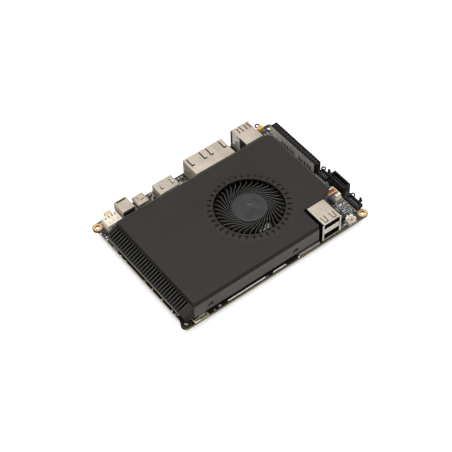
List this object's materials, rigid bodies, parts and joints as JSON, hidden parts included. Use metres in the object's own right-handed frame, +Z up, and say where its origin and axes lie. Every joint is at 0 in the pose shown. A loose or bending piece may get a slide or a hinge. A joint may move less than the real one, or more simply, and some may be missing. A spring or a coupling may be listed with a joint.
{
  "type": "single board computer",
  "caption": "Flat single board computer: board with eared mounting holes, low cover with a blower opening and sloped fins at one end, port sockets on two edges and a pin header on a third.",
  "frame": {"origin": "bottom centre of the bounding box, with the board lying flat, component side up", "axes": "+X along the long side, from the fin outlet towards the pin header; +Y from the edge with the double socket towards the edge with the main row of ports; +Z up, away from the board's component side"},
  "size_m": [0.148, 0.1066, 0.0226],
  "materials": {
    "board_laminate": "satin solder mask over glass-fibre laminate",
    "black_cover": "fine matte moulding",
    "grey_wall": "satin grey paint",
    "dark_metal": "dark anodised",
    "bare_metal": "bare",
    "tin_shell": "warm nickel plate",
    "steel": "plain",
    "brass": "plain",
    "black_plastic": "satin",
    "cream_plastic": "satin",
    "tan_plastic": "satin",
    "yellow_plastic": "satin",
    "grey_plastic": "satin",
    "red_plastic": "satin",
    "fan_plastic": "satin",
    "chip_body": "matte",
    "wire_black": "soft",
    "wire_red": "soft",
    "wire_yellow": "soft",
    "wire_navy": "soft"
  },
  "bodies": {
    "board": {"backplate": "steel", "button_body": "yellow_plastic", "card_post_1": "brass", "card_post_2": "brass", "card_post_3": "brass", "card_slot_1": "black_plastic", "card_slot_2": "black_plastic", "card_slot_3": "black_plastic", "card_socket": "tin_shell", "choke": "grey_plastic", "circuit_board": "board_laminate", "cooler_screw_1": "steel", "cooler_screw_2": "steel", "cooler_screw_3": "steel", "cooler_screw_4": "steel", "cover": "black_cover", "cpu_die": "steel", "cpu_package": "chip_body", "drive_socket": "black_plastic", "fan_base": "steel", "fan_bearing": "brass", "fan_header": "cream_plastic", "fan_lead_1": "wire_navy", "fan_lead_2": "wire_yellow", "fan_lead_3": "wire_red", "fan_lead_4": "wire_black", "fan_plug": "cream_plastic", "fan_stator": "steel", "fin_pack": "dark_metal", "hdmi_shell": "tin_shell", "hdmi_tongue": "black_plastic", "heatsink_base": "bare_metal", "inductor_1": "grey_plastic", "inductor_2": "grey_plastic", "jack_body": "black_plastic", "jack_shell": "tin_shell", "lan_core_1": "black_plastic", "lan_core_2": "black_plastic", "lan_shell": "tin_shell", "latch_socket_1": "black_plastic", "latch_socket_2": "black_plastic", "memory_chip_1": "chip_body", "memory_chip_2": "chip_body", "pin_header": "black_plastic", "power_input": "cream_plastic", "power_input_tab": "tan_plastic", "ribbon_socket": "black_plastic", "side_wall": "grey_wall", "small_socket": "cream_plastic", "usb2_core": "cream_plastic", "usb2_shell": "tin_shell", "usb3_core": "red_plastic", "usb3_shell": "tin_shell", "usb_c_shell": "tin_shell", "usb_c_tongue": "black_plastic"},
    "rotor": {"fan_rotor": "fan_plastic", "fan_magnet": "steel", "fan_shaft": "steel"},
    "button": {"button_cap": "black_plastic"},
    "ribbon_lock_body": {"ribbon_lock": "grey_plastic"}
  },
  "joints": [
    {"name": "fan_spin", "type": "hinge", "parent": "board", "child": "rotor", "pos_m": [0.00731, -0.0109, 0.0181], "axis": [0, 0, 1], "continuous": true},
    {"name": "button_press", "type": "slide", "parent": "board", "child": "button", "axis": [0, -1, 0], "range_m": [0, 0.0003], "stiffness_N_per_m": 900, "springref_m": -0.0002},
    {"name": "ribbon_flip", "type": "hinge", "parent": "board", "child": "ribbon_lock_body", "pos_m": [0.02261, -0.051, 0.00705], "axis": [-1, 0, 0], "range_deg": [0, 80]}
  ]
}
